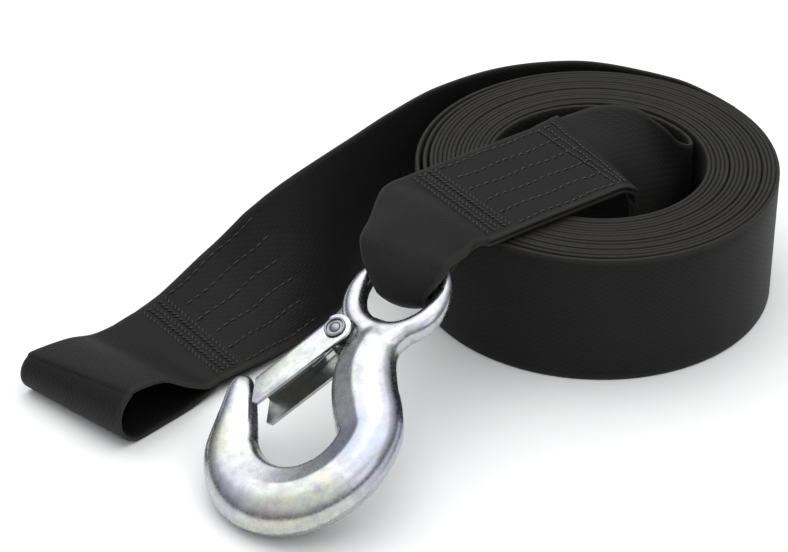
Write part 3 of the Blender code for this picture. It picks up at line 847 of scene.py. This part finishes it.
def bar_ring(centre, across, upward, half_width, half_thick):
    """A squarish section with a broad chamfer on its upper inner side and a parting ridge."""
    chamfer = math.radians(CHAMFER_DEG)
    corner = math.hypot(half_width * math.cos(chamfer), half_thick * math.sin(chamfer))
    limit = corner * CHAMFER_SHARE
    points = []
    for index in range(BAR_SIDES):
        angle = 2 * math.pi * index / BAR_SIDES
        c = math.cos(angle)
        s = math.sin(angle)
        flat = math.copysign(abs(c) ** (2 / BAR_SQUARENESS), c) * half_width
        tall = math.copysign(abs(s) ** (2 / BAR_SQUARENESS), s) * half_thick
        ridge = PARTING_RIDGE * MM * math.exp(-(tall / (PARTING_WIDTH * MM)) ** 2)
        flat += math.copysign(ridge, c)
        proud = max(0.0, tall * math.sin(chamfer) - flat * math.cos(chamfer) - limit)
        flat += proud * math.cos(chamfer)
        tall -= proud * math.sin(chamfer)
        points.append(centre + across * flat + upward * tall)
    return points


def hook_spine():
    rows = list(SHANK_ROWS)
    for angle, radius, half_width, half_thick in BOWL_ROWS:
        turn = math.radians(angle)
        rows.append((BOWL_CENTRE[0] + radius * math.sin(turn), BOWL_CENTRE[1] + radius * math.cos(turn),
                     half_width, half_thick))
    return smooth_points(rows + list(TIP_ROWS), SPINE_STEPS)


def spine_frames(spine):
    """Middle, sideways direction and sizes of each section, in metres."""
    frames = []
    for index, (along, across, half_width, half_thick) in enumerate(spine):
        before = spine[max(index - 1, 0)]
        after = spine[min(index + 1, len(spine) - 1)]
        heading = Vector((after[0] - before[0], after[1] - before[1], 0.0)).normalized()
        centre = Vector((along, across, 0.0)) * MM
        frames.append((centre, UP.cross(heading), heading, half_width * MM, half_thick * MM))
    return frames


def tube(centres, radii, sides):
    rings = []
    for index, (centre, radius) in enumerate(zip(centres, radii)):
        heading = centres[min(index + 1, len(centres) - 1)] - centres[max(index - 1, 0)]
        heading.normalize()
        side = heading.cross(UP)
        if side.length < 0.01:
            side = Vector((1.0, 0.0, 0.0))
        side.normalize()
        rings.append(round_ring(centre, side, side.cross(heading), radius, sides))
    return rings


def make_forging(made_of):
    """Ring, arms, shank and bowl run together by a voxel remesh, then eased at the crotch."""
    builder = bmesh.new()
    frames = spine_frames(hook_spine())
    loft([bar_ring(centre, side, UP, width, thick) for centre, side, _, width, thick in frames],
         builder=builder)
    ring = []
    for angle, radius in smooth_points(RING_ROWS, RING_STEPS)[:-1]:
        outward = flat_direction(angle)
        middle = outward * (RING_INNER_RADIUS + radius) * MM
        ring.append(round_ring(middle, outward, UP, radius * MM, 40))
    loft(ring, closed=True, builder=builder)
    for mirror in (1, -1):
        rows = smooth_points(ARM_ROWS, 5)
        centres = [Vector((along, across * mirror + drift, 0.0)) * MM
                   for along, across, drift, _ in rows]
        loft(tube(centres, [row[3] * MM for row in rows], 24), builder=builder)
    lug = [Vector((*PIVOT, height)) * MM for height in (-LUG_THICK / 2, LUG_THICK / 2)]
    root = [place + Vector((*LUG_ROOT, 0.0)) * MM for place in lug]
    flat = (Vector((1.0, 0.0, 0.0)), Vector((0.0, 1.0, 0.0)))
    for ends in (lug, root):
        loft([round_ring(place, *flat, LUG_RADIUS * MM, 32) for place in ends], builder=builder)
    forging = add_object("hook_forging", builder, made_of)
    remesh = forging.modifiers.new("run_together", "REMESH")
    remesh.mode = "VOXEL"
    remesh.voxel_size = FORGING_VOXEL
    remesh.use_smooth_shade = True
    apply_modifiers(forging)
    crotch = forging.vertex_groups.new(name="crotch")
    for vertex in forging.data.vertices:
        reach = (vertex.co - Vector((13.0, 1.0, 0.0)) * MM).length / MM
        weight = min(1.0, max(0.0, (17.0 - reach) / 8.0))
        if weight > 0:
            crotch.add([vertex.index], weight, "REPLACE")
    ease(forging, "eased_crotch", 0.5, 60, "crotch")
    ease(forging, "eased", 0.5, 8, "")
    apply_modifiers(forging)
    forging.data.transform(hook_matrix())
    return forging


def ease(item, name, factor, iterations, group):
    smooth = item.modifiers.new(name, "SMOOTH")
    smooth.factor = factor
    smooth.iterations = iterations
    smooth.vertex_group = group


def apply_modifiers(item):
    """Replace an object's mesh with what its modifiers make of it."""
    graph = bpy.context.evaluated_depsgraph_get()
    graph.update()
    made = bpy.data.meshes.new_from_object(item.evaluated_get(graph))
    item.modifiers.clear()
    old = item.data
    item.data = made
    bpy.data.meshes.remove(old)
    made.name = item.name


def latch_matrix():
    pivot = Matrix.Translation(Vector((*PIVOT, 0.0)) * MM)
    turn = Matrix.Rotation(math.radians(LATCH_DIRECTION_DEG), 4, "Z")
    flip = Matrix.Rotation(math.pi, 4, "X")
    return hook_matrix() @ pivot @ turn @ flip


def pin_matrix():
    return hook_matrix() @ Matrix.Translation(Vector((*PIVOT, 0.0)) * MM)


def prism(name, outline, half_depth):
    rings = [[Vector((x, y, z)) * MM for x, y in outline] for z in (-half_depth, half_depth)]
    return add_object(name, loft(rings), smooth=False)


def round_long_edges(item, low_y, radius):
    """Bevel the edges along the latch's length where its sheet is folded."""
    builder = bmesh.new()
    builder.from_mesh(item.data)
    folded = []
    for edge in builder.edges:
        first, second = edge.verts
        same_side = abs(first.co.z - second.co.z) < 1e-6
        if same_side and min(first.co.y, second.co.y) > low_y * MM:
            folded.append(edge)
    bmesh.ops.bevel(builder, geom=folded, offset=radius * MM, segments=5, profile=0.5,
                    affect="EDGES")
    builder.to_mesh(item.data)
    builder.free()


def latch_outline():
    points = []
    for angle in range(90, 271, 10):
        turn = math.radians(angle)
        points.append((LATCH_EAR_RADIUS * math.cos(turn), LATCH_EAR_RADIUS * math.sin(turn)))
    points.append((LATCH_LENGTH, -LATCH_NOSE_DROP))
    points.append((LATCH_LENGTH + 0.8, 0.0))
    points.append(LATCH_WEB_END)
    return points


def cutter(item, target, name):
    item.hide_render = True
    item.display_type = "WIRE"
    cut = target.modifiers.new(name, "BOOLEAN")
    cut.operation = "DIFFERENCE"
    cut.solver = "EXACT"
    cut.object = item


def make_latch(made_of):
    """A channel pressed from sheet: two ears on the pin and a closed back, with rounded folds."""
    latch = prism("latch_pressing", latch_outline(), LATCH_WIDTH / 2)
    round_long_edges(latch, LATCH_EAR_RADIUS - 0.2, 1.9)
    inner = LATCH_WIDTH / 2 - LATCH_SHEET
    back = LATCH_EAR_RADIUS - LATCH_SHEET
    rise = (LATCH_WEB_END[1] - LATCH_EAR_RADIUS) / LATCH_WEB_END[0]
    far = 40.0

    def back_inside(face):
        return back + rise * face.center.x / MM + 0.1

    channel = [(-far, far), (-far, -far), (far, -far), (far, back + rise * far),
               (LATCH_BACK_START, back + rise * LATCH_BACK_START), (LATCH_BACK_START, far)]
    cavity = prism("latch_cavity", channel, inner)
    bore = add_object("latch_bore", loft([
        round_ring(Vector((0.0, 0.0, z)) * MM, Vector((1.0, 0.0, 0.0)), Vector((0.0, 1.0, 0.0)),
                   2.1 * MM, 48) for z in (-20.0, 20.0)]))
    cutter(cavity, latch, "channel")
    cutter(bore, latch, "bore")
    edge = latch.modifiers.new("sheared_edges", "BEVEL")
    edge.width = 0.28 * MM
    edge.segments = 3
    edge.limit_method = "ANGLE"
    edge.angle_limit = math.radians(40.0)
    apply_modifiers(latch)
    for item in (cavity, bore):
        bpy.data.objects.remove(item)
    latch.data.shade_smooth()
    latch.data.set_sharp_from_angle(angle=math.radians(35.0))
    latch.data.materials.clear()
    latch.data.materials.append(made_of)
    # painted shade: the faces inside the channel get a darker, rougher copy of the zinc
    latch.data.materials.append(zinc_material("channel_painted_shade_zinc", 0.2, (0.30, 0.45), 0.55))
    for face in latch.data.polygons:
        inside = abs(face.center.z) < (inner + 0.05) * MM and face.center.y < back_inside(face) * MM
        face.material_index = 1 if inside else 0
    latch.data.transform(latch_matrix())
    return latch


def lathe(name, profile, steps, made_of):
    """Turn a side view of radius and height, in mm, round the Z axis."""
    builder = bmesh.new()
    points = [builder.verts.new((radius * MM, 0.0, height * MM)) for radius, height in profile]
    edges = [builder.edges.new(pair) for pair in zip(points, points[1:])]
    bmesh.ops.spin(builder, geom=points + edges, cent=(0, 0, 0), axis=(0, 0, 1),
                   angle=2 * math.pi, steps=steps, use_merge=True)
    bmesh.ops.remove_doubles(builder, verts=builder.verts, dist=0.000005)
    return add_object(name, builder, made_of)


def make_pin(made_of):
    """A tubular rivet: a domed head below, and a rolled rim round its hollow end above."""
    face = LATCH_WIDTH / 2 + 0.3
    top = face + PIN_HEAD_THICK
    profile = [(0.0, -top), (2.0, -top + 0.05), (3.1, -top + 0.3), (PIN_HEAD_RADIUS, -face - 0.2),
               (PIN_HEAD_RADIUS, -face), (PIN_RADIUS, -face), (PIN_RADIUS, face)]
    profile.append((PIN_HEAD_RADIUS, face))
    rim_middle = (PIN_HEAD_RADIUS + PIN_RIM_INNER) / 2
    rim_radius = (PIN_HEAD_RADIUS - PIN_RIM_INNER) / 2
    for angle in range(0, 181, 15):
        turn = math.radians(angle)
        profile.append((rim_middle + rim_radius * math.cos(turn),
                        face + 0.15 + 0.55 * math.sin(turn)))
    profile += [(PIN_RIM_INNER - 0.1, face - 0.9), (PIN_NUB_RADIUS + 0.1, face - 0.9)]
    for angle in range(0, 91, 15):
        turn = math.radians(angle)
        profile.append((PIN_NUB_RADIUS * math.cos(turn), face + PIN_HEAD_THICK * math.sin(turn)))
    pin = lathe("latch_rivet", profile, 64, made_of)
    pin.data.set_sharp_from_angle(angle=math.radians(50.0))
    pin.data.transform(pin_matrix())
    return pin


def make_spring(made_of):
    """A torsion spring round the rivet with one leg under the latch's back."""
    level = LUG_THICK / 2 + 0.3 + SPRING_WIRE_RADIUS
    path = [Vector((SPRING_LEG - step * (SPRING_LEG / 6), SPRING_COIL_RADIUS, level))
            for step in range(6)]
    for index in range(46):
        angle = math.pi / 2 + 2 * math.pi * index / 36
        lift = (2 * SPRING_WIRE_RADIUS + 0.06) * index / 36
        path.append(Vector((SPRING_COIL_RADIUS * math.cos(angle),
                            SPRING_COIL_RADIUS * math.sin(angle), level + lift)))
    path += [path[-1] + Vector((0.0, -step, 0.0)) for step in (1.5, 3.0, 4.0)]
    centres = [place * MM for place in path]
    builder = loft(tube(centres, [SPRING_WIRE_RADIUS * MM] * len(centres), 14))
    spring = add_object("torsion_spring", builder, made_of)
    spring.data.transform(latch_matrix())
    return spring


# ---------------------------------------------------------------- the strap's pieces

def make_coil(webbing):
    rows = measured(coil_rows())
    coil = ribbon("coil_webbing", rows, COIL_COLUMNS, webbing)
    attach(coil, "coil")
    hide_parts("strap_coil")
    return coil


def make_drum_end(webbing, thread):
    rows, tail = drum_end_rows()
    seam_start = tail[-1].along
    seam_length = DRUM_SEAM_LENGTH - 5.0 * MM
    return_start = rows[-1].along - DRUM_SEAM_LENGTH

    def relief(row, across, side):
        if row.along <= seam_start:
            return -pucker(seam_start - row.along, across, seam_length) if side > 0 else 0.0
        if row.along >= return_start:
            return -pucker(row.along - return_start, across, seam_length) if side > 0 else 0.0
        return 0.0

    piece = ribbon("drum_end_webbing", rows, RIBBON_COLUMNS, webbing, relief)
    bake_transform(piece)
    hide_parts("strap_tail", "drum_loop")
    seam = Seam(seam_rows(tail, DRUM_SEAM_LENGTH + 2 * MM), seam_length,
                WEB_THICK / 2, -PLY_PITCH - WEB_THICK / 2)
    for name, side, node in (("drum_seam_upper_stitches", 1, "drum_seam_upper_thread"),
                             ("drum_seam_lower_stitches", -1, "drum_seam_lower_thread")):
        stitches = sew(name, seam, side, thread, end_rows=0)
        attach(stitches, "drum_end")
        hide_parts(node)


def make_hook_end(webbing, thread):
    rows, lower = hook_end_rows()
    seam_length = LEAD_SEAM_LENGTH - 1.5 * MM
    return_start = rows[-1].along - LEAD_SEAM_LENGTH

    def relief(row, across, side):
        distance = row.along - return_start
        return -pucker(distance, across, seam_length) if side < 0 < distance else 0.0

    piece = ribbon("hook_end_webbing", rows, RIBBON_COLUMNS, webbing, relief)
    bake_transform(piece)
    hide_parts("strap_lead_root", "strap_lead", "hook_eye")
    seam = Seam(lower, seam_length, PLY_PITCH + WEB_THICK / 2, -WEB_THICK / 2)
    for name, side, node in (("hook_seam_upper_stitches", 1, "hook_seam_upper_thread"),
                             ("hook_seam_lower_stitches", -1, "hook_seam_lower_thread")):
        stitches = sew(name, seam, side, thread, end_rows=3)
        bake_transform(stitches)
        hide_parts(node)


def make_hook():
    pieces = (
        (make_forging(zinc_material("forged_zinc", level=0.78)), "hook", "hook_body"),
        (make_latch(zinc_material("pressed_zinc", 0.12, (0.14, 0.24), 0.8)), "latch", "latch"),
        (make_pin(zinc_material("rivet_zinc", 0.2, (0.18, 0.30), 0.45)), "hook", "latch_pin"),
        (make_spring(zinc_material("spring_steel", 0.1, (0.20, 0.30), 0.6)), "hook", "latch_spring"),
    )
    for piece, body, node in pieces:
        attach(piece, body)
        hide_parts(node)


# ---------------------------------------------------------------- studio

VIEW_TURN_DEG = -55.0
CAMERA_PLACE = Vector((-0.072, -0.836, 0.564))
CAMERA_TILT_DEG = 56.0
CAMERA_LENS = 125.7
CAMERA_SENSOR = 36.0
CAMERA_CLIP_START = 0.05
FLOOR_SIZE = 6.0
LIGHT_TARGET = (0.0, 0.0, 0.02)
# Each soft light: its name, its place as the camera sees it, its side in metres and its power in watts.
AREA_LIGHTS = (
    ("key", (-0.7, 0.8, 1.7), 1.8, 9.0),
    ("top", (0.3, 0.1, 2.0), 2.4, 17.0),
    ("front", (1.1, -1.3, 1.1), 1.0, 2.5),
)
# The world's brightness: height of the direction, from 0 at the horizon, and level.
WORLD_STOPS = ((0.0, 0.15), (0.16, 0.16), (0.40, 0.52), (0.66, 1.0))
WORLD_STRENGTH = 1.0


def add_camera():
    data = bpy.data.cameras.new("view_camera")
    data.lens = CAMERA_LENS
    data.sensor_width = CAMERA_SENSOR
    data.clip_start = CAMERA_CLIP_START
    camera = bpy.data.objects.new("view_camera", data)
    bpy.context.scene.collection.objects.link(camera)
    turn = Matrix.Rotation(math.radians(VIEW_TURN_DEG), 4, "Z")
    place = Matrix.Translation(turn @ CAMERA_PLACE + COIL_AXIS)
    camera.matrix_world = place @ turn @ Matrix.Rotation(math.radians(CAMERA_TILT_DEG), 4, "X")
    bpy.context.scene.camera = camera


def add_floor():
    builder = bmesh.new()
    bmesh.ops.create_grid(builder, x_segments=2, y_segments=2, size=FLOOR_SIZE)
    floor = add_object("floor", builder, floor_material())


def add_area(name, place, side, power):
    data = bpy.data.lights.new(name, "AREA")
    data.shape = "RECTANGLE"
    data.size = side
    data.size_y = side
    data.energy = power
    light = bpy.data.objects.new(name, data)
    bpy.context.scene.collection.objects.link(light)
    light.location = place
    light.rotation_euler = (Vector(LIGHT_TARGET) - Vector(place)).to_track_quat("-Z", "Y").to_euler()


def view_place(right, away, up):
    """A place given as seen from the camera: to its right, away from it, and up."""
    turn = Matrix.Rotation(math.radians(VIEW_TURN_DEG), 3, "Z")
    return turn @ Vector((right, away, up))


def use_plain_colours():
    bpy.context.scene.view_settings.view_transform = "Standard"


def add_world():
    """Bright overhead and darker at the horizon, so that the metal's sides turn grey."""
    world = bpy.data.worlds.new("studio")
    bpy.context.scene.world = world
    world.use_nodes = True
    tree = world.node_tree
    background = tree.nodes["Background"]
    place = tree.nodes.new("ShaderNodeTexCoord")
    parts = tree.nodes.new("ShaderNodeSeparateXYZ")
    ramp = tree.nodes.new("ShaderNodeValToRGB")
    tree.links.new(place.outputs["Generated"], parts.inputs[0])
    tree.links.new(parts.outputs["Z"], ramp.inputs[0])
    tree.links.new(ramp.outputs["Color"], background.inputs["Color"])
    while len(ramp.color_ramp.elements) < len(WORLD_STOPS):
        ramp.color_ramp.elements.new(0.5)
    for element, (position, level) in zip(ramp.color_ramp.elements, WORLD_STOPS):
        element.position = position
        element.color = (level * 0.98, level, level ** 0.92, 1.0)
    background.inputs["Strength"].default_value = WORLD_STRENGTH


def add_lights():
    for name, place, side, power in AREA_LIGHTS:
        add_area(name, view_place(*place), side, power)


use_plain_colours()
add_camera()
add_floor()
add_world()
add_lights()
webbing_black = webbing_material("black_webbing")
thread_black = thread_material("black_thread")
make_coil(webbing_black)
make_drum_end(webbing_black, thread_black)
make_hook_end(webbing_black, thread_black)
make_hook()
bpy.context.view_layer.update()
